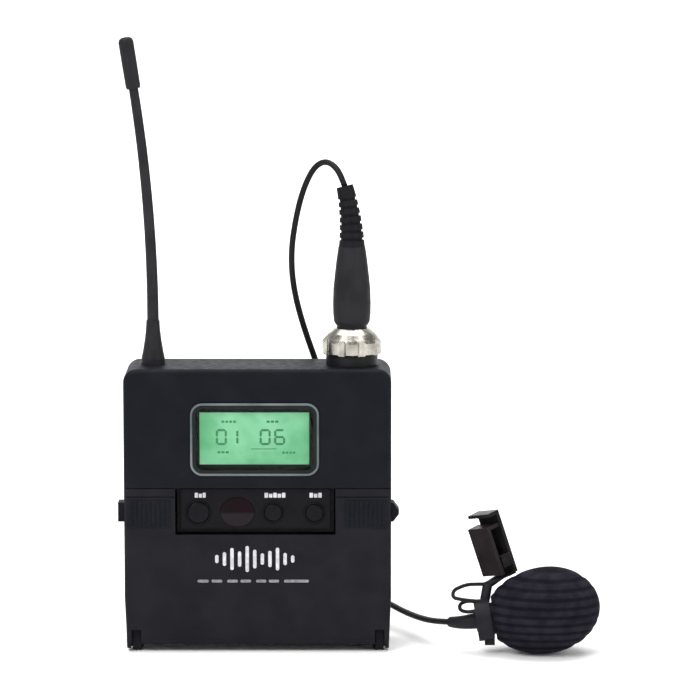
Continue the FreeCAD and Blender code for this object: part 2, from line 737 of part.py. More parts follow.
def belt_clip():
    """A spring-steel strip: foot screwed to the back, round bend on top, leg with a lifted tip."""
    w = CLIP_HALF_W
    outer_y = CLIP_GAP_Y + CLIP_T
    bend = (outer_y - HALF_D) / 2
    mid_y = (outer_y + HALF_D) / 2
    foot_y = HALF_D + CLIP_T

    def line(a, b):
        return Part.LineSegment(V(0, *a), V(0, *b)).toShape()

    def arc(a, b, c):
        return Part.Arc(V(0, *a), V(0, *b), V(0, *c)).toShape()

    outline = [
        line((HALF_D, CLIP_FOOT_Z), (HALF_D, CLIP_TOP_Z)),
        arc((HALF_D, CLIP_TOP_Z), (mid_y, CLIP_TOP_Z + bend), (outer_y, CLIP_TOP_Z)),
        line((outer_y, CLIP_TOP_Z), (outer_y, CLIP_KICK_Z)),
        line((outer_y, CLIP_KICK_Z), (outer_y + CLIP_KICK, CLIP_LOW_Z)),
        line((outer_y + CLIP_KICK, CLIP_LOW_Z), (CLIP_GAP_Y + CLIP_KICK, CLIP_LOW_Z)),
        line((CLIP_GAP_Y + CLIP_KICK, CLIP_LOW_Z), (CLIP_GAP_Y, CLIP_KICK_Z)),
        line((CLIP_GAP_Y, CLIP_KICK_Z), (CLIP_GAP_Y, CLIP_TOP_Z)),
        arc((CLIP_GAP_Y, CLIP_TOP_Z), (mid_y, CLIP_TOP_Z + bend - CLIP_T), (foot_y, CLIP_TOP_Z)),
        line((foot_y, CLIP_TOP_Z), (foot_y, CLIP_FOOT_Z)),
        line((foot_y, CLIP_FOOT_Z), (HALF_D, CLIP_FOOT_Z)),
    ]
    strip = Part.Face(Part.Wire(outline))
    strip.translate(V(-w, 0, 0))
    strip = strip.extrude(V(2 * w, 0, 0))
    corners = [e for e in strip.Edges if e.BoundBox.ZMax < CLIP_LOW_Z + 0.01 and e.BoundBox.XLength < 0.01]
    strip = strip.makeFillet(3.0, corners)
    for z in BELT_SCREW_Z:
        strip = strip.cut(screw_hole(0, z, 1.25, (9, 12)))
        strip = strip.cut(screw_hole(0, z, 2.6, (12, 20)))
    return strip


def clip_screws():
    made = []
    for z in BELT_SCREW_Z:
        head = rod_y(2.2, 0, z, (HALF_D + CLIP_T, HALF_D + CLIP_T + 1.3))
        made.append(head.fuse(rod_y(1.2, 0, z, (6.2, HALF_D + CLIP_T))).removeSplitter())
    return Part.makeCompound(made)


# ---- Antenna ----------------------------------------------------------------


def antenna_bushing():
    x = ANTENNA_X
    flange = rod(3.0, V(x, 0, 66.9), V(x, 0, HEIGHT - WALL - 0.02))
    return fused([rod(2.6, V(x, 0, 63.2), V(x, 0, HEIGHT)), flange])


def antenna_base():
    profile = [(0, HEIGHT)] + FLARE + [(0, FLARE_TOP_Z)]
    return turned(profile, V(ANTENNA_X, 0, 0), V(0, 0, 1))


def whip_heading(angle):
    a = math.radians(angle)
    return V(-math.sin(a), 0, math.cos(a))


WHIP_RISE = WHIP_TOP_Z - FLARE_TOP_Z
WHIP_ANGLE = 2 * math.degrees(math.atan(WHIP_LEAN / WHIP_RISE))
WHIP_L = WHIP_RISE / math.sin(math.radians(WHIP_ANGLE)) * math.radians(WHIP_ANGLE)


def antenna_whip():
    start = V(ANTENNA_X, 0, FLARE_TOP_Z)
    bar, _ = tapered_bend(start, V(0, 0, 1), V(-1, 0, 0), WHIP_ANGLE, WHIP_L, WHIP_R)
    return bar


def antenna_cap():
    start = V(ANTENNA_X - WHIP_LEAN, 0, WHIP_TOP_Z)
    return turned([(0, 0)] + CAP + [(0, CAP_L)], start, whip_heading(WHIP_ANGLE))


# ---- Socket, plug and its boot ----------------------------------------------


def plug_axis(z):
    return V(PLUG_X, 0, z)


def mic_socket():
    body = rod(5.5, plug_axis(58.5), plug_axis(HEIGHT))
    flange = rod(5.9, plug_axis(66.6), plug_axis(HEIGHT - WALL - 0.02))
    sleeve = rod(SLEEVE_R, plug_axis(HEIGHT), plug_axis(74.8))
    shape = fused([body, flange, sleeve])
    shape = shape.cut(rod(4.6, plug_axis(60.0), plug_axis(76.0)))
    for p in pin_rods(0.52, (58, 61)):
        shape = shape.cut(p)
    return shape


def socket_nut():
    return tube(6.3, SLEEVE_R + RUN, plug_axis(HEIGHT), plug_axis(NUT_TOP_Z))


PIN_RING = [(1.9 * math.cos(math.radians(a)), 1.9 * math.sin(math.radians(a))) for a in (45, 135, 225, 315)]


def pin_rods(radius, z):
    return [rod(radius, V(PLUG_X + px, py, z[0]), V(PLUG_X + px, py, z[1])) for px, py in PIN_RING]


def socket_insulator():
    disc = rod(4.55, plug_axis(60.1), plug_axis(63.0))
    for p in pin_rods(0.5, (59, 64)):
        disc = disc.cut(p)
    return disc


def socket_pins():
    return Part.makeCompound(pin_rods(0.48, (57.5, 72.5)))


def plug_insert():
    disc = rod(4.5, plug_axis(69.9), plug_axis(PLUG_FLANGE_Z[0]))
    for p in pin_rods(0.55, (69, 74)):
        disc = disc.cut(p)
    return disc


def plug_body():
    """The metal neck that the coupling ring turns on: a flange inside the ring, then a plain neck."""
    low, high = PLUG_FLANGE_Z
    flange_r = 4.8
    flange = [(0, low), (flange_r, low), (flange_r, high)]
    neck = [(PLUG_NECK_R, high), (PLUG_NECK_R, BOOT_LOW_Z), (0, BOOT_LOW_Z)]
    return turned(flange + neck, plug_axis(0), V(0, 0, 1))


def coupling_ring():
    """Fluted outside; inside, a thread clearance, a pocket for the neck's flange and the neck's hole."""
    shape = turned(
        [(0, RING_LOW_Z), (RING_R - 0.3, RING_LOW_Z), (RING_R, RING_LOW_Z + 0.4), (RING_R, RING_BAND_Z - 0.3),
         (RING_R - 0.4, RING_BAND_Z + 0.3), (5.6, 77.3), (RING_NECK_R, RING_TOP_Z), (0, RING_TOP_Z)],
        plug_axis(0), V(0, 0, 1),
    )
    for i in range(RING_LOBES):
        a = 2 * math.pi * (i + 0.5) / RING_LOBES - math.pi / 2
        far = RING_R + FLUTE_OUT
        foot = V(PLUG_X + far * math.cos(a), far * math.sin(a), RING_LOW_Z - 1)
        shape = shape.cut(rod(FLUTE_R, foot, foot + V(0, 0, RING_BAND_Z - RING_LOW_Z + 1.7)))
    wide = SLEEVE_R + RUN + 0.03
    narrow = PLUG_NECK_R + RUN
    ledge = PLUG_FLANGE_Z[1] + 0.1
    bore = [(0, 70), (wide, 70), (wide, ledge), (narrow, ledge), (narrow, 79), (0, 79)]
    return shape.cut(turned(bore, plug_axis(0), V(0, 0, 1)))


def plug_boot():
    return turned([(0, BOOT_LOW_Z)] + BOOT + [(0, RELIEF_LOW_Z)], plug_axis(0), V(0, 0, 1))


RELIEF_START = V(PLUG_X, 0, RELIEF_LOW_Z)


def plug_relief():
    """The ribbed sleeve over the cord. It leans towards the way that the cord leaves."""
    side = V(RELIEF_TOP.x - RELIEF_START.x, RELIEF_TOP.y - RELIEF_START.y, 0)
    rise = RELIEF_TOP.z - RELIEF_START.z
    angle = 2 * math.atan(side.Length / rise)
    length = rise / math.sin(angle) * angle
    up = V(0, 0, 1)
    wide, slim = PLUG_RELIEF_R
    bar, at = tapered_bend(RELIEF_START, up, side.normalize(), math.degrees(angle), length, PLUG_RELIEF_R)
    depth, height = 0.4, 0.7
    for i in range(PLUG_RELIEF_GROOVES):
        t = 0.1 + 0.13 * i
        point, tangent = at(t)
        r = wide + (slim - wide) * t
        bar = bar.cut(tube(r + 2, r - depth, point, point + tangent * height))
    return bar


# ---- Microphone -------------------------------------------------------------

TILT = math.radians(MIC_TILT)
MIC_DIR = V(math.cos(TILT), 0, math.sin(TILT))
FOAM_LOW = math.sqrt((FOAM_TAIL * math.sin(TILT)) ** 2 + (FOAM_R * math.cos(TILT)) ** 2)
FOAM_CENTRE = V(70.2, -10.0, FOAM_LOW + FLOOR_GAP)


def on_mic(s):
    return FOAM_CENTRE + MIC_DIR * s


def mic_barrel():
    back, front = BARREL_S
    profile = [
        (0, back), (2.6, back), (3.5, back + 1.0), (BARREL_R, back + 1.6), (BARREL_R, front), (3.2, front),
        (3.2, front - 6.5), (0, front - 6.5),
    ]
    return turned(profile, FOAM_CENTRE, MIC_DIR)


def mic_capsule():
    front = BARREL_S[1]
    return rod(3.15, on_mic(front - 6.4), on_mic(front - 1.2))


def mic_grille():
    """A perforated disc held in the mouth of the barrel."""
    front = BARREL_S[1]
    disc = rod(3.15, on_mic(front - 0.9), on_mic(front - 0.3))
    side = V(0, 1, 0)
    up = MIC_DIR.cross(side)
    spots = [(0, 0)] + [(1.7 * math.cos(a * math.pi / 3), 1.7 * math.sin(a * math.pi / 3)) for a in range(6)]
    for a, b in spots:
        spot = on_mic(front - 2) + side * a + up * b
        disc = disc.cut(rod(0.45, spot, spot + MIC_DIR * 3))
    return disc


def windscreen():
    """An egg of foam, open at the back, with the bore that slides over the barrel."""
    start = FOAM_START
    rim = FOAM_R * math.sqrt(1 - (start / FOAM_TAIL) ** 2)
    bore = BARREL_R + FOAM_FIT
    depth = BARREL_S[1] + 0.5

    def tail(s):
        return V(FOAM_R * math.sqrt(1 - (s / FOAM_TAIL) ** 2), 0, s)

    back = Part.BSplineCurve()
    back.interpolate([tail(start), tail(-11.0), tail(-8.0), tail(-4.0), tail(0.0)])
    edges = [
        back.toShape(),
        egg_nose(),
        Part.LineSegment(V(0, 0, FOAM_NOSE), V(0, 0, depth)).toShape(),
        Part.LineSegment(V(0, 0, depth), V(bore, 0, depth)).toShape(),
        Part.LineSegment(V(bore, 0, depth), V(bore, 0, start)).toShape(),
        Part.LineSegment(V(bore, 0, start), V(rim, 0, start)).toShape(),
    ]
    face = Part.Face(Part.Wire(edges))
    solid = face.revolve(V(0, 0, 0), V(0, 0, 1), 360)
    solid.Placement = FreeCAD.Placement(FOAM_CENTRE, FreeCAD.Rotation(V(0, 0, 1), MIC_DIR))
    return solid


def egg_nose():
    curve = Part.BSplineCurve()
    steps = 8
    points = [
        V(FOAM_R * math.cos(math.pi / 2 * i / steps), 0, FOAM_NOSE * math.sin(math.pi / 2 * i / steps))
        for i in range(steps + 1)
    ]
    curve.interpolate(points)
    return curve.toShape()


def mic_relief():
    bar, _ = tapered_bend(on_mic(BARREL_S[0]), MIC_DIR * -1, V(0, 1, 0), RELIEF_BEND, RELIEF_L, RELIEF_R)
    return bar


# ---- Tie clip ---------------------------------------------------------------

TIE_PLACE = FreeCAD.Placement(
    TIE_PIVOT,
    FreeCAD.Rotation(V(0, 1, 0), -TIE_LEAN).multiply(FreeCAD.Rotation(V(0, 0, 1), TIE_TURN)),
)


def tie_point(x, y, z):
    return TIE_PLACE.multVec(V(x, y, z))


def tied(shape):
    shape.Placement = TIE_PLACE.multiply(shape.Placement)
    return shape


def tie_jaw(plate_x, z, ear_y, ear_x, lip_x, bore):
    """A pressed jaw: plate, two ears for the pin and a lip of teeth at the tip."""
    w = JAW_HALF_W
    plate = box((plate_x, plate_x + JAW_T), (-w, w), z)
    parts = [plate]
    for side in (-1, 1):
        y = sorted((side * ear_y, side * (ear_y + 0.6)))
        parts.append(box(ear_x, y, (-1.5, 1.5)))
    parts.append(box(lip_x, (-w, w), (z[1] - JAW_T, z[1])))
    jaw = fused(parts)
    jaw = jaw.cut(rod(bore, V(0, -6, 0), V(0, 6, 0)))
    notch = 1.0
    tip = lip_x[0] if plate_x > 0 else lip_x[1]
    for i in range(-3, 4):
        y = i * 2 * notch * 0.52
        tooth = box((tip - 0.45, tip + 0.45), (y - 0.26, y + 0.26), (z[1] - 2, z[1] + 1))
        jaw = jaw.cut(tooth)
    return jaw


def clip_rear_jaw():
    x = REAR_JAW_X
    return tied(tie_jaw(x, REAR_JAW_Z, 2.95, (x, 1.0), (x, 1.2), TIE_PIN_R + 0.02))


def clip_front_jaw():
    x = FRONT_JAW_X
    return tied(tie_jaw(x, FRONT_JAW_Z, 2.2, (-1.0, x + JAW_T), (-1.1, x + JAW_T), TIE_PIN_R + RUN))


def clip_pin():
    return tied(rod(TIE_PIN_R, V(0, -3.6, 0), V(0, 3.6, 0)))


def clip_spring():
    """The outer shape of the torsion spring round the pin, with a leg against the rear jaw."""
    coil = tube(1.3, 0.75, V(0, -1.7, 0), V(0, 1.7, 0))
    leg = box((REAR_JAW_X + JAW_T, -0.9), (-0.3, 0.3), (0.6, 1.1))
    return tied(fused([coil, leg]))


def arm_tongue(knee):
    """The flat web beside the arm: as wide as the jaws at the rear jaw's foot, and narrow at the knee."""
    end = TIE_PLACE.inverse().multVec(knee)
    start_z = REAR_JAW_Z[0] - 0.05
    sections = []
    stations = (
        (REAR_JAW_X, 0.0, start_z, TONGUE_HALF_W[0]),
        (end.x, end.y, start_z - TONGUE_DROP, TONGUE_HALF_W[1]),
    )
    for x, middle, top, half in stations:
        low = top - TONGUE_T
        corners = [V(x, middle + y, z) for y, z in ((-half, low), (half, low), (half, top), (-half, top))]
        sections.append(Part.makePolygon(corners + [corners[0]]))
    return tied(Part.makeLoft(sections, True, True))


def clip_holder():
    """The ring on the barrel with the arm that carries the clip."""
    ring = rod(RING_OUT_R, on_mic(RING_S[0]), on_mic(RING_S[1]))
    foot = on_mic(-15.6) + ARM_FOOT
    head = tie_point(REAR_JAW_X + 0.2, 0.0, REAR_JAW_Z[0] - 0.02)
    knee = V(foot.x + 0.8, foot.y + 1.0, head.z - 3.1)
    under = (REAR_JAW_Z[0] - 0.9, REAR_JAW_Z[0])
    block = tied(box((REAR_JAW_X - 0.3, REAR_JAW_X + 1.2), (-1.4, 1.4), under))
    arm = [rod(ARM_R[0], foot, knee), Part.makeSphere(ARM_R[0], knee), rod(ARM_R[1], knee, head), block]
    lug = box((55.2, 57.6), (-11.6, -8.4), (2.2, 5.2))
    holder = fused([ring, lug, arm_tongue(knee)] + arm)
    return holder.cut(rod(BARREL_R + RUN, on_mic(-22), on_mic(0)))


def clip_loops():
    """Two bent-wire loops that stand out behind the holder ring."""
    return Part.makeCompound([swept([V(*p) for p in loop], LOOP_WIRE_R) for loop in (UPPER_LOOP, LOWER_LOOP)])


# ---- Cord -------------------------------------------------------------------


def cord_coil():
    x, y = COIL_CENTRE
    return tube(COIL_R[1], COIL_R[0], V(x, y, 0), V(x, y, COIL_H))


def cord_mic_side():
    """From the coil's top turn to the microphone's strain relief."""
    bend = math.radians(RELIEF_BEND)
    bend_r = RELIEF_L / bend
    end = on_mic(BARREL_S[0]) - MIC_DIR * (bend_r * math.sin(bend)) + V(0, bend_r * (1 - math.cos(bend)), 0)
    print("relief end", end)
    return swept([V(*p) for p in MIC_ROUTE] + [end], CORD_R)


PLAIN_PIECES = (
    control_panel, key_board, tact_switches, lcd_bezel, lcd_window, lcd_frame, lcd_display,
    main_board, rf_shield, board_chips, board_screws, contact_plates, contact_springs,
    case_screws, hinge_pins, belt_clip, clip_screws,
    antenna_bushing, antenna_base, antenna_whip, antenna_cap,
    mic_socket, socket_nut, socket_insulator, socket_pins,
    plug_insert, plug_body, coupling_ring, plug_boot, plug_relief,
    mic_barrel, mic_capsule, mic_grille, windscreen, mic_relief,
    clip_holder, clip_rear_jaw, clip_front_jaw, clip_pin, clip_spring, clip_loops,
    cord_coil, cord_mic_side,
)


def main():
    skin = case_skin()
    inner = case_block(WALL)
    save("rear_case", rear_case(skin, inner))
    save("front_case", front_case(skin, inner))
    save("chassis", chassis())
    save("battery_cover", battery_cover(skin))
    save("latch_left", mirrored(latch(LEFT_KNOB_OUT, False)))
    save("latch_right", latch(RIGHT_KNOB_OUT, True))
    save("latch_spring_left", mirrored(latch_spring()))
    save("latch_spring_right", latch_spring())
    for name, (x, z, r) in BUTTONS.items():
        save(name, push_button(x, z, r))
    save("ir_window", ellipse_plate(IR_HALF, (-9.25, -7.4)))
    save("ir_sensor", box((-6.9, -2.9), (-6.6, KEY_BOARD_Y[0]), (32.6, 36.6)))
    for piece in PLAIN_PIECES:
        save(piece.__name__, piece())
    save("battery_upper", cell(CELL_HIGH_Z, 1))
    save("battery_lower", cell(CELL_LOW_Z, -1))
    save("cord_plug_side", swept([V(*p) for p in PLUG_ROUTE], CORD_R))
    print("jaw pin", TIE_PLACE.Rotation.multVec(V(0, 1, 0)), "pivot", TIE_PIVOT)
    print("microphone axis", MIC_DIR, "centre", FOAM_CENTRE)


main()
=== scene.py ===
"""Looks of a lavalier microphone with its bodypack transmitter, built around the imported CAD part."""
import math

import bmesh
import bpy
from mathutils import Matrix, Vector


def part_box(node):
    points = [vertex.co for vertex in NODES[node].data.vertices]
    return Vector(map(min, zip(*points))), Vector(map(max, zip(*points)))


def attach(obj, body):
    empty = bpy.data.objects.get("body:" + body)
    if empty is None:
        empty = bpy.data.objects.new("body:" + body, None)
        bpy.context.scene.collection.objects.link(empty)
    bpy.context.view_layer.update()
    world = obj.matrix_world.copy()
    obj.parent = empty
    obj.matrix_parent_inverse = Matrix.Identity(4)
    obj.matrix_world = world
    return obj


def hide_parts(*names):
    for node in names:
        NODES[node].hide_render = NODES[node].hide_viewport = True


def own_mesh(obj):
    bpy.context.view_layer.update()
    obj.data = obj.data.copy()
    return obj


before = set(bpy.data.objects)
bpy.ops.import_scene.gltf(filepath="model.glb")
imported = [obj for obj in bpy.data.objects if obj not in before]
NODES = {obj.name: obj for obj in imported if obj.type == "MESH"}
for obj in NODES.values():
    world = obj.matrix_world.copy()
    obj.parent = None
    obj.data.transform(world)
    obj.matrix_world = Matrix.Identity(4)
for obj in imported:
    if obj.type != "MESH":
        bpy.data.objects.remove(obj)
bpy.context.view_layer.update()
MM = 0.001

# ---------------------------------------------------------------- camera

VIEW_CENTRE = Vector((0.0224, -0.010, 0.0744))
VIEW_DOWN = math.radians(8.0)
VIEW_DISTANCE = 0.92
VIEW_WIDTH = 0.1685

camera = bpy.data.objects.new("camera", bpy.data.cameras.new("camera"))
bpy.context.scene.collection.objects.link(camera)
camera.location = VIEW_CENTRE + VIEW_DISTANCE * Vector((0, -math.cos(VIEW_DOWN), math.sin(VIEW_DOWN)))
camera.rotation_euler = (math.pi / 2 - VIEW_DOWN, 0, 0)
camera.data.lens = camera.data.sensor_width * VIEW_DISTANCE / VIEW_WIDTH
camera.data.clip_start = 0.01
bpy.context.scene.camera = camera

# ---------------------------------------------------------------- cord

CORD_D = 0.0015
COIL_CENTRE = (0.0099, 0.0356)
COIL_R = (0.00875, 0.01325)
COIL_TURNS = 14.67
TURNS_PER_LEVEL = 3
RISE_TURNS = 0.3
POINTS_PER_TURN = 16
PLUG_ROUTE = [
    (0.0211, 0.0007, 0.1130), (0.0202, 0.0013, 0.1155), (0.0186, 0.0027, 0.1178), (0.0163, 0.0049, 0.1187),
    (0.0139, 0.0070, 0.1172), (0.0119, 0.0081, 0.1137), (0.0102, 0.0089, 0.1088), (0.0089, 0.0097, 0.1028),
    (0.0080, 0.0107, 0.0962), (0.0082, 0.0119, 0.0890), (0.0096, 0.0133, 0.0816), (0.0120, 0.0146, 0.0736),
    (0.0156, 0.0154, 0.0635), (0.0198, 0.0160, 0.0500), (0.0238, 0.0172, 0.0355), (0.0264, 0.0189, 0.0215),
    (0.0264, 0.0208, 0.0105), (0.0232, 0.0219, 0.0030), (0.0188, 0.0223, 0.0008), (0.0140, 0.02235, 0.00076),
]
MIC_ROUTE = [
    (0.0237, 0.0381, 0.0067), (0.0275, 0.0307, 0.0063), (0.0323, 0.0219, 0.0055), (0.0364, 0.0133, 0.0050),
    (0.0406, 0.0047, 0.0052), (0.0440, -0.0023, 0.0061), (0.047016, -0.00689, 0.00698),
]


def coil_point(turns):
    """Flat layers of turns, wound clockwise, inward and outward by turns, each rising in its first part turn."""
    level, into = divmod(turns, TURNS_PER_LEVEL)
    share = into / TURNS_PER_LEVEL
    low, high = COIL_R
    radius = high - share * (high - low) if level % 2 == 0 else low + share * (high - low)
    rise = math.sin(math.pi / 2 * min(1.0, into / RISE_TURNS)) if level else 1.0
    angle = -math.pi / 2 - 2 * math.pi * turns
    return (
        COIL_CENTRE[0] + radius * math.cos(angle),
        COIL_CENTRE[1] + radius * math.sin(angle),
        CORD_D * (level - 0.5 + rise),
    )


def nurbs_line(points):
    """Points along one open NURBS line with these control points."""
    curve = bpy.data.curves.new("route", "CURVE")
    curve.dimensions = "3D"
    curve.resolution_u = 8
    spline = curve.splines.new("NURBS")
    spline.points.add(len(points) - 1)
    for target, p in zip(spline.points, points):
        target.co = (*p, 1.0)
    spline.order_u = 3
    spline.use_endpoint_u = True
    carrier = bpy.data.objects.new("route", curve)
    mesh = bpy.data.meshes.new_from_object(carrier)
    line = [v.co.copy() for v in mesh.vertices]
    bpy.data.objects.remove(carrier)
    bpy.data.meshes.remove(mesh)
    bpy.data.curves.remove(curve)
    return [line[0]] + [b for a, b in zip(line, line[1:]) if (b - a).length > CORD_D / 1000]


def tube_mesh(name, points, radius, closed=False, sides=10):
    """A round tube through points in metres."""
    count = len(points)
    points = [Vector(p) for p in points]
    verts, faces, normal = [], [], None
    for i, p in enumerate(points):
        if closed:
            tangent = (points[(i + 1) % count] - points[i - 1]).normalized()
        else:
            tangent = (points[min(i + 1, count - 1)] - points[max(i - 1, 0)]).normalized()
        if normal is None:
            normal = tangent.orthogonal().normalized()
        normal = (normal - tangent * normal.dot(tangent)).normalized()
        other = tangent.cross(normal)
        for k in range(sides):
            a = 2 * math.pi * k / sides
            verts.append(p + (normal * math.cos(a) + other * math.sin(a)) * radius)
    for i in range(count if closed else count - 1):
        j = (i + 1) % count
        faces += [
            (i * sides + k, i * sides + (k + 1) % sides, j * sides + (k + 1) % sides, j * sides + k)
            for k in range(sides)
        ]
    if not closed:
        faces.append(tuple(range(sides - 1, -1, -1)))
        faces.append(tuple(range((count - 1) * sides, count * sides)))
    mesh = bpy.data.meshes.new(name)
    mesh.from_pydata([tuple(v) for v in verts], [], faces)
    return mesh


coil = [coil_point(i / POINTS_PER_TURN) for i in range(int(COIL_TURNS * POINTS_PER_TURN) + 1)]
cord_line = nurbs_line(PLUG_ROUTE + coil + MIC_ROUTE)
cord_skin = tube_mesh("microphone_cord", cord_line, CORD_D / 2, sides=14)
cord_skin.shade_smooth()
cord = bpy.data.objects.new("microphone_cord", cord_skin)
bpy.context.scene.collection.objects.link(cord)
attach(cord, "pack")
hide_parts("cord_plug_side", "cord_coil", "cord_mic_side")

# ---------------------------------------------------------------- materials


def mapped(tree, value, low, high, start=0.0, end=1.0):
    """A smooth change of a value from the range start..end to low..high."""
    node = tree.nodes.new("ShaderNodeMapRange")
    node.interpolation_type = "SMOOTHSTEP"
    for name, number in (("From Min", start), ("From Max", end), ("To Min", low), ("To Max", high)):
        node.inputs[name].default_value = number
    tree.links.new(value, node.inputs["Value"])
    return node.outputs["Result"]


def noise(tree, size, detail, stretch=(1, 1, 1)):
    """A pattern with features of this size in metres, fixed to the piece."""
    place = tree.nodes.new("ShaderNodeTexCoord")
    shape = tree.nodes.new("ShaderNodeMapping")
    shape.inputs["Scale"].default_value = [k / size for k in stretch]
    pattern = tree.nodes.new("ShaderNodeTexNoise")
    pattern.inputs["Scale"].default_value = 1.0
    pattern.inputs["Detail"].default_value = detail
    tree.links.new(place.outputs["Object"], shape.inputs["Vector"])
    tree.links.new(shape.outputs["Vector"], pattern.inputs["Vector"])
    return pattern.outputs["Fac"]


def blended(tree, share, dark, light):
    """A colour between two, by a share from 0 to 1. Either colour may be a socket."""
    node = tree.nodes.new("ShaderNodeMix")
    node.data_type = "RGBA"
    tree.links.new(share, node.inputs["Factor"])
    for name, colour in (("A", dark), ("B", light)):
        socket = [i for i in node.inputs if i.name == name and i.type == "RGBA"][0]
        if isinstance(colour, tuple):
            socket.default_value = (*colour, 1.0)
        else:
            tree.links.new(colour, socket)
    return [o for o in node.outputs if o.type == "RGBA"][0]


def bump(tree, height, depth, under=None):
    """Relief of this depth in metres, on top of another normal where there is one."""
    node = tree.nodes.new("ShaderNodeBump")
    node.inputs["Distance"].default_value = depth
    node.inputs["Strength"].default_value = 1.0
    tree.links.new(height, node.inputs["Height"])
    if under is not None:
        tree.links.new(under, node.inputs["Normal"])
    return node.outputs["Normal"]


def product(tree, first, second):
    """Two values multiplied."""
    node = tree.nodes.new("ShaderNodeMath")
    node.operation = "MULTIPLY"
    tree.links.new(first, node.inputs[0])
    tree.links.new(second, node.inputs[1])
    return node.outputs["Value"]


def placed(tree, axis, low, high, soft):
    """1 between two positions along an axis in metres and 0 outside, with soft ends of the width given."""
    place = tree.nodes.new("ShaderNodeTexCoord")
    parts = tree.nodes.new("ShaderNodeSeparateXYZ")
    tree.links.new(place.outputs["Object"], parts.inputs["Vector"])
    above = mapped(tree, parts.outputs[axis], 0.0, 1.0, low - soft, low + soft)
    below = mapped(tree, parts.outputs[axis], 1.0, 0.0, high - soft, high + soft)
    return product(tree, above, below)


def tinted(material, share, colour):
    """Lays another colour over a material's own, where the share is 1."""
    tree = material.node_tree
    shader = tree.nodes["Principled BSDF"]
    own = shader.inputs["Base Color"].links[0].from_socket
    tree.links.new(blended(tree, share, own, colour), shader.inputs["Base Color"])


def worn_edge(tree, width):
    """1 on edges and 0 on flats, from how a rounded normal turns away from the true one."""
    soft = tree.nodes.new("ShaderNodeBevel")
    soft.inputs["Radius"].default_value = width
    soft.samples = 4
    true = tree.nodes.new("ShaderNodeNewGeometry")
    dot = tree.nodes.new("ShaderNodeVectorMath")
    dot.operation = "DOT_PRODUCT"
    tree.links.new(soft.outputs["Normal"], dot.inputs[0])
    tree.links.new(true.outputs["Normal"], dot.inputs[1])
    return mapped(tree, dot.outputs["Value"], 1.0, 0.0, 0.75, 0.99)


def finish(name, dark, light, rough, grain=0.0003, depth=0.000006, mottle=0.006, metallic=0.0, gloss=0.10,
           stretch=(1, 1, 1), rounding=0.0, wear=None, wear_width=0.0003):
    """A material whose colour and gloss drift over the surface, with a fine grain, soft edges and worn corners."""
    material = bpy.data.materials.new(name)
    material.use_nodes = True
    tree = material.node_tree
    shader = tree.nodes["Principled BSDF"]
    drift = noise(tree, mottle, 4.0)
    colour = blended(tree, mapped(tree, drift, 0.0, 1.0, 0.3, 0.7), dark, light)
    if wear:
        colour = blended(tree, mapped(tree, worn_edge(tree, wear_width), 0.0, 0.5), colour, wear)
    tree.links.new(colour, shader.inputs["Base Color"])
    patchy = noise(tree, mottle / 4, 5.0, stretch)
    tree.links.new(mapped(tree, patchy, rough[0], rough[1], 0.3, 0.7), shader.inputs["Roughness"])
    normal = None
    if rounding:
        edge = tree.nodes.new("ShaderNodeBevel")
        edge.inputs["Radius"].default_value = rounding
        edge.samples = 4
        normal = edge.outputs["Normal"]
    if depth:
        normal = bump(tree, noise(tree, grain, 2.0, stretch), depth, normal)
    if normal is not None:
        tree.links.new(normal, shader.inputs["Normal"])
    shader.inputs["Metallic"].default_value = metallic
    shader.inputs["Specular IOR Level"].default_value = gloss
    return material


SCUFF = (0.024, 0.025, 0.031)

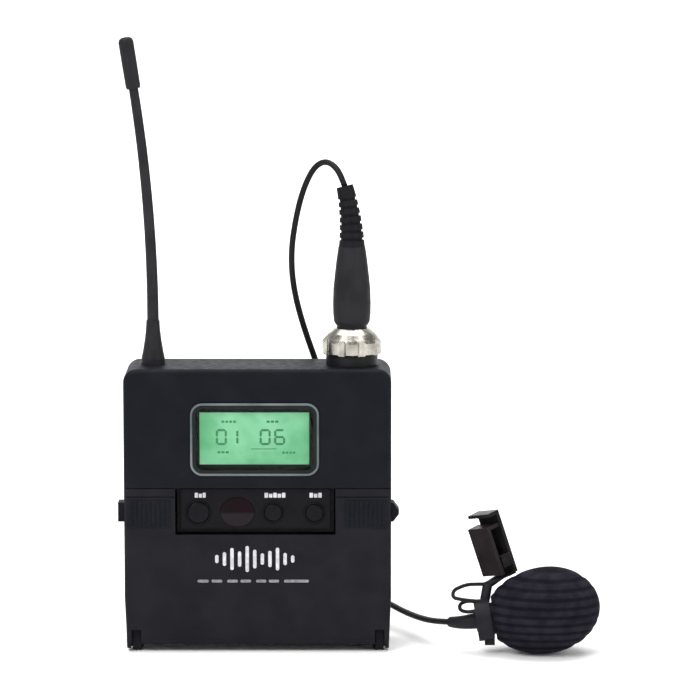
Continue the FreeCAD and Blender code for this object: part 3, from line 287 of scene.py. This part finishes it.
M = {
    "case": finish(
        "case", (0.0027, 0.0036, 0.0062), (0.0042, 0.0055, 0.0090), (0.5, 0.62), depth=0.000014, grain=0.00035,
        rounding=0.00025, wear=SCUFF,
    ),
    "case_low": finish(
        "case_low", (0.0065, 0.0060, 0.0086), (0.0095, 0.0088, 0.0120), (0.5, 0.62), depth=0.000014, grain=0.00035,
        rounding=0.00025, wear=SCUFF,
    ),
    "inner": finish("inner", (0.010, 0.010, 0.011), (0.016, 0.016, 0.017), (0.5, 0.66), rounding=0.0002),
    "panel": finish("panel", (0.0024, 0.0023, 0.0036), (0.0038, 0.0036, 0.0052), (0.34, 0.46), rounding=0.0002),
    "button": finish(
        "button", (0.0026, 0.0026, 0.0044), (0.0042, 0.0042, 0.0066), (0.3, 0.42), rounding=0.0002, wear=SCUFF,
    ),
    "bezel": finish("bezel", (0.006, 0.009, 0.009), (0.010, 0.014, 0.014), (0.16, 0.26), depth=0.0, rounding=0.0002),
    "ir": finish("ir", (0.0042, 0.0010, 0.0020), (0.0062, 0.0014, 0.0028), (0.10, 0.18), depth=0.000002, gloss=0.06),
    "sensor": finish("sensor", (0.006, 0.006, 0.007), (0.012, 0.012, 0.013), (0.2, 0.35), rounding=0.0001),
    "board": finish("board", (0.006, 0.060, 0.022), (0.010, 0.095, 0.036), (0.28, 0.42), mottle=0.002),
    "steel": finish("steel", (0.42, 0.42, 0.42), (0.60, 0.60, 0.60), (0.22, 0.38), metallic=1.0, stretch=(1, 1, 0.12)),
    "black_steel": finish(
        "black_steel", (0.008, 0.008, 0.009), (0.014, 0.013, 0.014), (0.28, 0.42), rounding=0.00012,
        wear=(0.07, 0.065, 0.06), wear_width=0.0002,
    ),
    "brown_steel": finish(
        "brown_steel", (0.011, 0.0085, 0.0098), (0.019, 0.0150, 0.0168), (0.34, 0.46), depth=0.000001, rounding=0.00012,
        wear=(0.08, 0.07, 0.065), wear_width=0.0002,
    ),
    "gold": finish("gold", (0.62, 0.44, 0.16), (0.78, 0.58, 0.24), (0.14, 0.26), metallic=1.0),
    "nickel": finish(
        "nickel", (0.25, 0.24, 0.215), (0.50, 0.475, 0.42), (0.16, 0.30), metallic=1.0, rounding=0.00015,
        mottle=0.003, wear=(0.80, 0.77, 0.70), wear_width=0.0002,
    ),
    "plug": finish("plug", (0.010, 0.010, 0.011), (0.016, 0.016, 0.017), (0.3, 0.42), rounding=0.0001),
    "insulator": finish("insulator", (0.022, 0.022, 0.022), (0.032, 0.032, 0.030), (0.4, 0.55)),
    "rubber": finish(
        "rubber", (0.0105, 0.0105, 0.0125), (0.017, 0.017, 0.020), (0.46, 0.62), grain=0.0004, depth=0.00002,
        rounding=0.0002,
    ),
    "relief": finish(
        "relief", (0.0050, 0.0050, 0.0062), (0.0080, 0.0080, 0.0098), (0.5, 0.64), depth=0.00001, rounding=0.0002,
    ),
    "antenna": finish(
        "antenna", (0.0125, 0.0125, 0.0142), (0.020, 0.020, 0.0225), (0.42, 0.56), grain=0.0004, depth=0.000015,
        rounding=0.0002,
    ),
    "cord": finish("cord", (0.008, 0.008, 0.009), (0.013, 0.013, 0.014), (0.38, 0.52), grain=0.0003, depth=0.000008),
    "battery": finish("battery", (0.010, 0.020, 0.014), (0.014, 0.027, 0.019), (0.3, 0.4), depth=0.000002),
    "mic": finish("mic", (0.010, 0.010, 0.013), (0.016, 0.016, 0.020), (0.34, 0.46), rounding=0.00015, wear=SCUFF),
    "capsule": finish("capsule", (0.40, 0.40, 0.41), (0.55, 0.55, 0.56), (0.25, 0.4), metallic=1.0),
    "foam": finish(
        "foam", (0.0082, 0.0078, 0.0125), (0.0155, 0.0148, 0.0225), (0.85, 0.98), grain=0.00042, depth=0.00006,
        mottle=0.003, gloss=0.06,
    ),
    "holder": finish("holder", (0.009, 0.009, 0.012), (0.014, 0.014, 0.018), (0.4, 0.54), rounding=0.0002, wear=SCUFF),
}
WEARS = {
    "case": ("front_case", "rear_case", "latch_left", "latch_right"),
    "case_low": ("battery_cover",),
    "inner": ("chassis", "lcd_frame"),
    "panel": ("control_panel",),
    "button": ("power_button", "mode_button", "set_button"),
    "bezel": ("lcd_bezel",),
    "ir": ("ir_window",),
    "sensor": ("ir_sensor", "board_chips", "tact_switches"),
    "board": ("main_board", "key_board"),
    "steel": (
        "rf_shield", "contact_plates", "contact_springs", "board_screws", "latch_spring_left", "latch_spring_right",
        "clip_spring", "mic_grille",
    ),
    "black_steel": (
        "belt_clip", "clip_screws", "hinge_pins", "clip_pin", "case_screws", "clip_rear_jaw", "clip_loops",
    ),
    "brown_steel": ("clip_front_jaw",),
    "gold": ("socket_pins", "antenna_bushing"),
    "nickel": ("coupling_ring", "mic_socket"),
    "plug": ("plug_body", "socket_nut"),
    "insulator": ("plug_insert", "socket_insulator"),
    "rubber": ("plug_boot", "mic_relief"),
    "relief": ("plug_relief",),
    "antenna": ("antenna_base", "antenna_whip", "antenna_cap"),
    "battery": ("battery_upper", "battery_lower"),
    "mic": ("mic_barrel",),
    "capsule": ("mic_capsule",),
    "foam": ("windscreen",),
    "holder": ("clip_holder",),
}


def dress(piece, material):
    """One material on the whole piece."""
    piece.data.materials.clear()
    piece.data.materials.append(material)


for key, names in WEARS.items():
    for name in names:
        dress(NODES[name], M[key])
dress(cord, M["cord"])


def tint_bottom(key, node, top, soft, colour):
    """Lays a colour over a material below a height, for the node that wears it."""
    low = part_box(node)[0]
    tinted(M[key], placed(M[key].node_tree, "Z", low.z - MM, top, soft), colour)


IR_SPLIT_Z = 0.0344
# Top of the painted shade along the battery cover's bottom edge.
COVER_SHADE_TOP_Z = 0.0019
EAR_TOP_Z = 0.0076
tint_bottom("ir", "ir_window", IR_SPLIT_Z, 0.0003, (0.0125, 0.0100, 0.0120))
# Painted shade: the battery cover darkened to near black along its bottom edge.
tint_bottom("case_low", "battery_cover", COVER_SHADE_TOP_Z, 0.0006, (0.0022, 0.0022, 0.0028))
tint_bottom("inner", "chassis", EAR_TOP_Z, 0.0003, (0.0082, 0.0076, 0.0104))

SLEEVE_X = (-0.0247, 0.0236)
SLEEVE_SOFT = 0.00006
BAND_X = (0.0095, 0.0236)
LINE_X = (0.0083, 0.0091)
PRINT_SOFT = 0.00005
battery_low = M["battery"].copy()
battery_low.name = "battery_turned"
for material, way in ((M["battery"], 1), (battery_low, -1)):
    tree = material.node_tree
    sleeve = placed(tree, "X", *sorted(way * x for x in SLEEVE_X), SLEEVE_SOFT)
    band = placed(tree, "X", *sorted(way * x for x in BAND_X), PRINT_SOFT)
    line = placed(tree, "X", *sorted(way * x for x in LINE_X), PRINT_SOFT)
    tinted(material, band, (0.012, 0.012, 0.014))
    tinted(material, line, (0.032, 0.025, 0.012))
    bare = mapped(tree, sleeve, 1.0, 0.0)
    tinted(material, bare, (0.55, 0.55, 0.56))
    tree.links.new(bare, tree.nodes["Principled BSDF"].inputs["Metallic"])
dress(NODES["battery_lower"], battery_low)

# Painted shade: the control panel darkened in a border along its left, right and lower edges, where its sunk step lies
# in shade.
PANEL_SHADE_W = 0.0013
PANEL_SOFT = 0.0001
low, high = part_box("control_panel")
tree = M["panel"].node_tree
unshaded_middle = product(
    tree,
    placed(tree, "X", low.x + PANEL_SHADE_W, high.x - PANEL_SHADE_W, PANEL_SOFT),
    placed(tree, "Z", low.z + PANEL_SHADE_W, high.z + MM, PANEL_SOFT),
)
tinted(M["panel"], mapped(tree, unshaded_middle, 1.0, 0.0), (0.0012, 0.0011, 0.0016))

# ---------------------------------------------------------------- mesh tools


def add(name, mesh, body, material, hides=(), smooth=True):
    """Puts a mesh in the scene as a piece of the model."""
    piece = bpy.data.objects.new(name, mesh)
    bpy.context.scene.collection.objects.link(piece)
    if smooth:
        mesh.shade_smooth()
    dress(piece, material)
    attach(piece, body)
    if hides:
        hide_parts(*hides)
    return piece


def closed_mesh(name, verts, faces):
    """A closed mesh with all its faces turned outwards."""
    mesh = bpy.data.meshes.new(name)
    mesh.from_pydata(verts, [], faces)
    build = bmesh.new()
    build.from_mesh(mesh)
    bmesh.ops.recalc_face_normals(build, faces=build.faces)
    build.to_mesh(mesh)
    build.free()
    return mesh


def plates(name, outlines, y):
    """A mesh of flat prisms: each outline is a list of (x, z) in mm, from y[0] at the front to y[1]."""
    verts, faces = [], []
    for outline in outlines:
        n, first = len(outline), len(verts)
        verts += [(px * MM, depth * MM, pz * MM) for depth in y for px, pz in outline]
        faces.append(tuple(range(first, first + n)))
        faces.append(tuple(range(first + 2 * n - 1, first + n - 1, -1)))
        faces += [(first + i, first + n + i, first + n + (i + 1) % n, first + (i + 1) % n) for i in range(n)]
    return closed_mesh(name, verts, faces)


def rounded(x, z, radius, steps=4):
    """A rectangle with round corners, as (x, z) points."""
    points = []
    corners = ((x[1], z[1], 0), (x[0], z[1], 90), (x[0], z[0], 180), (x[1], z[0], 270))
    for cx, cz, start in corners:
        ox = cx - radius if cx == x[1] else cx + radius
        oz = cz - radius if cz == z[1] else cz + radius
        for i in range(steps + 1):
            a = math.radians(start + 90 * i / steps)
            points.append((ox + radius * math.cos(a), oz + radius * math.sin(a)))
    return points


def helix(start, end, radii, turns, per_turn=20):
    """Points of a spring between two points, with one closed turn at each end."""
    start, end = Vector(start), Vector(end)
    along = (end - start).normalized()
    u = along.orthogonal().normalized()
    v = along.cross(u)
    total = int(turns * per_turn)
    points = []
    for i in range(total + 1):
        turn = i / per_turn
        share = min(1.0, max(0.0, (turn - 1.0) / (turns - 2.0)))
        radius = radii[0] + (radii[1] - radii[0]) * share
        a = 2 * math.pi * turn
        points.append(start + (end - start) * share + (u * math.cos(a) + v * math.sin(a)) * radius)
    return points


# ---------------------------------------------------------------- windscreen

MIC_TILT = math.radians(9.0)
MIC_AXIS = Vector((math.cos(MIC_TILT), 0.0, math.sin(MIC_TILT)))
FOAM_CENTRE = Vector((0.0702, -0.010, 0.010653))
FOAM_R = 0.0105
FOAM_NOSE = 0.0130
FOAM_TAIL = 0.0150
FOAM_START = -0.0129
FOAM_LIP = 0.0005
LIP_STEPS = 5
FOAM_BORE = 0.0041
FOAM_DEPTH = 0.0029
GROOVES = 9
GROOVE_PITCH = 0.00205
GROOVE_DEPTH = 0.00024
GROOVE_HALF = 0.00046
AROUND = 180
ALONG = 110


def foam_section():
    """The foam's outline as (along, radius): nose to lip outside, then the bore inwards."""
    outline = []
    for i in range(ALONG + 1):
        angle = math.pi / 2 * (1 - i / ALONG)
        outline.append((FOAM_NOSE * math.sin(angle), FOAM_R * math.cos(angle)))
    end_angle = math.asin(-FOAM_START / FOAM_TAIL)
    for i in range(1, ALONG + 1):
        angle = end_angle * i / ALONG
        outline.append((-FOAM_TAIL * math.sin(angle), FOAM_R * math.cos(angle)))
    edge = outline[-1][1]
    for i in range(1, LIP_STEPS + 1):
        turn = math.pi / 2 * i / LIP_STEPS
        outline.append((FOAM_START - FOAM_LIP * 0.2 * math.sin(turn), edge - FOAM_LIP * (1 - math.cos(turn))))
    for share in (0.3, 0.6, 1.0):
        outline.append((FOAM_START, edge - FOAM_LIP + share * (FOAM_BORE - edge + FOAM_LIP)))
    for share in (0.1, 0.3, 0.5, 0.7, 0.9, 1.0):
        outline.append((FOAM_START + share * (FOAM_DEPTH - FOAM_START), FOAM_BORE))
    return outline


def foam_mesh():
    """The outline spun about the microphone's axis, pressed in along level lines."""
    across = Vector((0.0, 1.0, 0.0))
    up = MIC_AXIS.cross(across)
    nose = FOAM_CENTRE + MIC_AXIS * FOAM_NOSE
    outline = foam_section()
    outer = 2 * ALONG + 1
    verts, faces = [tuple(nose)], []
    for order, (along, radius) in enumerate(outline[1:], 1):
        for k in range(AROUND):
            a = 2 * math.pi * k / AROUND
            out = across * math.cos(a) + up * math.sin(a)
            spot = MIC_AXIS * along + out * radius
            dent = 0.0
            if order < outer:
                nearest = round(spot.z / GROOVE_PITCH)
                if abs(nearest) <= GROOVES // 2:
                    gap = abs(spot.z - nearest * GROOVE_PITCH) / GROOVE_HALF
                    dent = GROOVE_DEPTH * math.exp(-gap * gap) * min(1.0, radius / (FOAM_R / 2))
            verts.append(tuple(FOAM_CENTRE + spot - out * dent))
    rings = len(outline) - 1
    faces += [(0, 1 + k, 1 + (k + 1) % AROUND) for k in range(AROUND)]
    for i in range(rings - 1):
        a, b = 1 + i * AROUND, 1 + (i + 1) * AROUND
        faces += [(a + k, b + k, b + (k + 1) % AROUND, a + (k + 1) % AROUND) for k in range(AROUND)]
    last = 1 + (rings - 1) * AROUND
    faces.append(tuple(range(last + AROUND - 1, last - 1, -1)))
    return closed_mesh("windscreen_foam", verts, faces)


# Painted shade: the foam darkened along its pressed-in grooves, where they lie in shade.
foam_tree = M["foam"].node_tree
foam_place = foam_tree.nodes.new("ShaderNodeTexCoord")
foam_parts = foam_tree.nodes.new("ShaderNodeSeparateXYZ")
foam_tree.links.new(foam_place.outputs["Object"], foam_parts.inputs["Vector"])
groove_shade = foam_parts.outputs["Z"]
for operation, number in (("SUBTRACT", FOAM_CENTRE.z), ("MULTIPLY", 2 * math.pi / GROOVE_PITCH), ("COSINE", 0.0)):
    step = foam_tree.nodes.new("ShaderNodeMath")
    step.operation = operation
    step.inputs[1].default_value = number
    foam_tree.links.new(groove_shade, step.inputs[0])
    groove_shade = step.outputs["Value"]
tinted(M["foam"], mapped(foam_tree, groove_shade, 0.0, 0.62, -0.5, 1.0), (0.0016, 0.0016, 0.0026))

foam = add("windscreen_foam", foam_mesh(), "windscreen", M["foam"], hides=("windscreen",))

# ---------------------------------------------------------------- springs

LATCH_SPRING_R = 0.00072
LATCH_WIRE_R = 0.00016
LATCH_SPRING_Y, LATCH_SPRING_Z = -0.0077, 0.03435
LATCH_SPRING_X = (0.02145, 0.02545)
LATCH_SPRING_TURNS = 8
for side, way in (("left", -1), ("right", 1)):
    ends = [Vector((way * x, LATCH_SPRING_Y, LATCH_SPRING_Z)) for x in LATCH_SPRING_X]
    wire = Vector((way * LATCH_WIRE_R, 0, 0))
    line = helix(ends[0] + wire, ends[1] - wire, (LATCH_SPRING_R, LATCH_SPRING_R), LATCH_SPRING_TURNS)
    name = f"latch_coil_{side}"
    spring = add(
        name, tube_mesh(name, line, LATCH_WIRE_R, sides=8), "battery_cover", M["steel"],
        hides=(f"latch_spring_{side}",),
    )
    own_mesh(spring)

CELL_Y = 0.0008
CONTACT_WIRE_R = 0.0003
CONTACT_X = (0.02525, 0.0286)
CONTACT_R = (0.0033, 0.0019)
CONTACT_TURNS = 4.5
for name, z, way in (("contact_coil_high", 0.0256, -1), ("contact_coil_low", 0.0112, 1)):
    base = Vector((way * (CONTACT_X[1] - CONTACT_WIRE_R), CELL_Y, z))
    tip = Vector((way * (CONTACT_X[0] + CONTACT_WIRE_R), CELL_Y, z))
    line = helix(base, tip, CONTACT_R, CONTACT_TURNS, per_turn=28)
    add(
        name, tube_mesh(name, line, CONTACT_WIRE_R, sides=8), "pack", M["steel"],
        hides=("contact_springs",),
    )

TIE_PLACE = (0.058, -0.0076, 0.0222)
TIE_LEAN = math.radians(-18)
TIE_TURN = math.radians(220)
TIE_FRAME = Matrix.Translation(TIE_PLACE) @ Matrix.Rotation(TIE_LEAN, 4, "Y") @ Matrix.Rotation(TIE_TURN, 4, "Z")
TORSION_R, TORSION_WIRE_R = 0.00102, 0.00025
TORSION_HALF_W = 0.00145
TORSION_LEG = (0.00140, 0.0026)
TORSION_STEPS = 108
TORSION_ANGLE = math.radians(4.5 * 360)
line = [Vector((-TORSION_LEG[0], -TORSION_HALF_W, TORSION_LEG[1]))]
for i in range(TORSION_STEPS + 1):
    a = math.pi + TORSION_ANGLE * i / TORSION_STEPS
    y = TORSION_HALF_W * (2 * i / TORSION_STEPS - 1)
    line.append(Vector((TORSION_R * math.cos(a), y, TORSION_R * math.sin(a))))
line.append(Vector((TORSION_LEG[0], TORSION_HALF_W, TORSION_LEG[1])))
line = [TIE_FRAME @ p for p in line]
add(
    "torsion_spring", tube_mesh("torsion_spring", line, TORSION_WIRE_R, sides=8), "clip_holder", M["steel"],
    hides=("clip_spring",),
)

# ---------------------------------------------------------------- display, panel and marks

window_glass = finish("window_glass", (0.80, 0.86, 0.82), (0.84, 0.90, 0.86), (0.03, 0.07), depth=0.0)
window_shader = window_glass.node_tree.nodes["Principled BSDF"]
window_shader.inputs["Transmission Weight"].default_value = 1.0
window_shader.inputs["IOR"].default_value = 1.12
dress(NODES["lcd_window"], window_glass)

display = finish("display", (0.105, 0.34, 0.168), (0.225, 0.495, 0.31), (0.25, 0.35), mottle=0.011, depth=0.0)
display_shader = display.node_tree.nodes["Principled BSDF"]
display_colour = display_shader.inputs["Base Color"].links[0].from_socket
display.node_tree.links.new(display_colour, display_shader.inputs["Emission Color"])
display_shader.inputs["Emission Strength"].default_value = 0.51
dress(NODES["lcd_display"], display)

DISPLAY_FACE = -8.3
# The strokes of each digit: top, upper right, lower right, bottom, lower left, upper left, middle.
SEGMENTS = {
    0: (1, 1, 1, 1, 1, 1, 0),
    1: (0, 1, 1, 0, 0, 0, 0),
    6: (1, 0, 1, 1, 1, 1, 1),
}
DIGIT_W, DIGIT_H, STROKE, NICK = 2.15, 3.4, 0.56, 0.04
DIGITS = ((0, -9.8), (1, -7.0), (0, 0.8), (6, 4.3))
DIGIT_Z = 51.2


def stroke(x0, z0, x1, z1):
    """One slim six-cornered stroke of a digit."""
    h = STROKE / 2
    if abs(x1 - x0) > abs(z1 - z0):
        a, b = x0 + NICK + h, x1 - NICK - h
        return [(a - h, z0), (a, z0 - h), (b, z0 - h), (b + h, z0), (b, z0 + h), (a, z0 + h)]
    a, b = z0 + NICK + h, z1 - NICK - h
    return [(x0, a - h), (x0 + h, a), (x0 + h, b), (x0, b + h), (x0 - h, b), (x0 - h, a)]


glyphs = []
for digit, x in DIGITS:
    right, low, mid, top = x + DIGIT_W, DIGIT_Z, DIGIT_Z + DIGIT_H / 2, DIGIT_Z + DIGIT_H
    lines = (
        (x, top, right, top), (right, mid, right, top), (right, low, right, mid), (x, low, right, low),
        (x, low, x, mid), (x, mid, x, top), (x, mid, right, mid),
    )
    glyphs += [stroke(*line) for line, on in zip(lines, SEGMENTS[digit]) if on]
BLOCK_ROWS = ((-8.7, 56.4, 4, 0.7), (2.2, 56.4, 3, 0.8), (-9.7, 48.9, 3, 0.75), (6.0, 48.8, 4, 0.6))
BLOCK_GAP = 0.25
BLOCK_H = 0.55
for x, z, count, width in BLOCK_ROWS:
    for i in range(count):
        left = x + i * (width + BLOCK_GAP)
        glyphs.append(rounded((left, left + width), (z, z + BLOCK_H), 0.12))
UNDERLINE = ((-1.6, 4.6), (49.9, 50.1))
glyphs.append(rounded(*UNDERLINE, 0.08))
ink = finish("display_ink", (0.060, 0.23, 0.11), (0.085, 0.29, 0.15), (0.3, 0.4), depth=0.0)
INK_Y = (DISPLAY_FACE - 0.03, DISPLAY_FACE - 0.005)
add("display_digits", plates("display_digits", glyphs, INK_Y), "pack", ink, smooth=False)

# Painted highlight: a thin light ring round the display bezel stands in for the highlight along its outer edge.
RIM_W = 0.00029
RIM_IN = 0.35
RIM_CORNER = 2.65
RIM_PROUD = 0.05
low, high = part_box("lcd_bezel")
rim_x = (low.x / MM + RIM_IN, high.x / MM - RIM_IN)
rim_z = (low.z / MM + RIM_IN, high.z / MM - RIM_IN)
rim_path = [(x * MM, low.y - RIM_PROUD * MM, z * MM) for x, z in rounded(rim_x, rim_z, RIM_CORNER, 10)]
rim = finish("bezel_highlight_rim", (0.075, 0.090, 0.095), (0.15, 0.165, 0.17), (0.18, 0.28), depth=0.0, mottle=0.012)
add("bezel_highlight_rim", tube_mesh("bezel_highlight_rim", rim_path, RIM_W, closed=True), "pack", rim)

white = finish("print_white", (0.40, 0.40, 0.42), (0.56, 0.56, 0.58), (0.4, 0.55), depth=0.0, mottle=0.0012)
grey = finish("print_grey", (0.14, 0.14, 0.15), (0.24, 0.24, 0.25), (0.4, 0.55), depth=0.0, mottle=0.0009)
PANEL_FACE = -9.1
LABELS = ((-15.2, 3, 0.75), (1.7, 5, 0.85), (12.6, 3, 0.85))
LABEL_Z = (38.15, 39.35)
LABEL_GAP = 0.2
LABEL_DROP = 0.25
labels = []
for x, count, width in LABELS:
    for i in range(count):
        left = x + i * (width + LABEL_GAP)
        top = LABEL_Z[1] - LABEL_DROP * (i % 2)
        labels.append(rounded((left, left + width), (LABEL_Z[0], top), 0.15))
LABEL_Y = (PANEL_FACE - 0.02, PANEL_FACE + 0.01)
add("panel_labels", plates("panel_labels", labels, LABEL_Y), "pack", white, smooth=False)

COVER_FACE = -10.0
WAVE = (2.0, 3.4, 5.4, 3.8, 6.4, 4.6, 2.8, 4.0, 5.6, 3.0, 1.8)
WAVE_X = -9.9
WAVE_Z = 23.2
WAVE_PITCH = 1.84
BAR_HALF_W = 0.42
DASHES = ((-14.6, -11.9), (-11.2, -8.6), (-7.4, -4.8), (-4.2, -1.6), (-0.4, 2.1), (2.7, 5.2), (6.4, 12.4))
DASH_Z = (17.4, 18.1)
marks = []
for i, height in enumerate(WAVE):
    x = WAVE_X + i * WAVE_PITCH
    marks.append(rounded((x - BAR_HALF_W, x + BAR_HALF_W), (WAVE_Z - height / 2, WAVE_Z + height / 2), 0.4))
dashes = [rounded(span, DASH_Z, 0.3) for span in DASHES]
MARK_Y = (COVER_FACE - 0.02, COVER_FACE + 0.01)
add("cover_marks", plates("cover_marks", marks, MARK_Y), "battery_cover", white, smooth=False)
add("cover_dashes", plates("cover_dashes", dashes, MARK_Y), "battery_cover", grey, smooth=False)

# Two tabs behind the hinge, which close the light gap beside the cover's ears.
BAFFLE_X = (30.55, 31.60)
BAFFLE_Y = (-2.6, -2.4)
BAFFLE_Z = (0.05, 2.50)
baffles = [
    [(side * BAFFLE_X[i], BAFFLE_Z[k]) for i, k in ((0, 0), (1, 0), (1, 1), (0, 1))]
    for side in (-1, 1)
]
add("hinge_baffles", plates("hinge_baffles", baffles, BAFFLE_Y), "pack", M["inner"], smooth=False)

# Painted shade: black rings lie round the buttons, in the gaps beside them that fall in shade.
BUTTON_GAP_SHADES = {
    "power_gap_shade": (-14.35, 34.5, 2.6),
    "mode_gap_shade": (3.8, 34.5, 2.1),
    "set_gap_shade": (13.8, 34.4, 2.1),
}
RING_GAP = 0.32
RING_WIRE_R = 0.00030
RING_STEPS = 40
gap_shade_ring = finish("button_gap_shade", (0.0015, 0.0015, 0.002), (0.003, 0.003, 0.004), (0.5, 0.65), depth=0.0, gloss=0.1)
for name, (x, z, r) in BUTTON_GAP_SHADES.items():
    path = []
    for i in range(RING_STEPS):
        a = 2 * math.pi * i / RING_STEPS
        out = r + RING_GAP
        path.append(((x + out * math.cos(a)) * MM, (PANEL_FACE - 0.02) * MM, (z + out * math.sin(a)) * MM))
    ring = tube_mesh(name, path, RING_WIRE_R, closed=True, sides=8)
    add(name, ring, "pack", gap_shade_ring)

# ---------------------------------------------------------------- floor and light

SWEEP_Y = (-2.5, 1.6)
SWEEP_R = 0.8
SWEEP_TOP = 3.0
SWEEP_HALF_W = 3.0
SWEEP_STEPS = 24

profile = [(SWEEP_Y[0], 0.0), (SWEEP_Y[1], 0.0)]
for i in range(1, SWEEP_STEPS + 1):
    a = math.pi / 2 * i / SWEEP_STEPS
    profile.append((SWEEP_Y[1] + SWEEP_R * math.sin(a), SWEEP_R * (1 - math.cos(a))))
profile.append((profile[-1][0], SWEEP_TOP))
mesh = bpy.data.meshes.new("floor")
mesh.from_pydata(
    [(x, y, z) for y, z in profile for x in (-SWEEP_HALF_W, SWEEP_HALF_W)], [],
    [(2 * i, 2 * i + 1, 2 * i + 3, 2 * i + 2) for i in range(len(profile) - 1)],
)
mesh.shade_smooth()
floor = bpy.data.objects.new("floor", mesh)
bpy.context.scene.collection.objects.link(floor)
paper = finish("paper", (0.88, 0.88, 0.875), (0.90, 0.90, 0.895), (0.8, 0.9), depth=0.0, mottle=0.4)
dress(floor, paper)


def softbox(name, place, aim, size, power):
    """A square area lamp at a place, turned towards a point."""
    lamp = bpy.data.lights.new(name, "AREA")
    lamp.shape = "RECTANGLE"
    lamp.size, lamp.size_y = size
    lamp.energy = power
    piece = bpy.data.objects.new(name, lamp)
    piece.location = place
    piece.rotation_euler = (Vector(aim) - Vector(place)).to_track_quat("-Z", "Y").to_euler()
    bpy.context.scene.collection.objects.link(piece)


MIDDLE = (0.022, 0.0, 0.06)
softbox("key", (-0.55, -0.75, 0.85), MIDDLE, (0.6, 0.6), 11.0)
softbox("fill", (0.9, -0.7, 0.45), MIDDLE, (0.3, 0.8), 5.0)
softbox("top", (0.0, 0.15, 1.1), MIDDLE, (1.2, 0.8), 15.0)
softbox("back_wall", (0.0, 0.9, 1.2), (0.0, 2.2, 0.7), (2.5, 1.0), 42.0)

world = bpy.data.worlds.new("studio")
bpy.context.scene.world = world
world.use_nodes = True
world.node_tree.nodes["Background"].inputs["Color"].default_value = (1, 1, 1, 1)
world.node_tree.nodes["Background"].inputs["Strength"].default_value = 0.45
bpy.context.scene.view_settings.view_transform = "Standard"

bpy.context.view_layer.update()
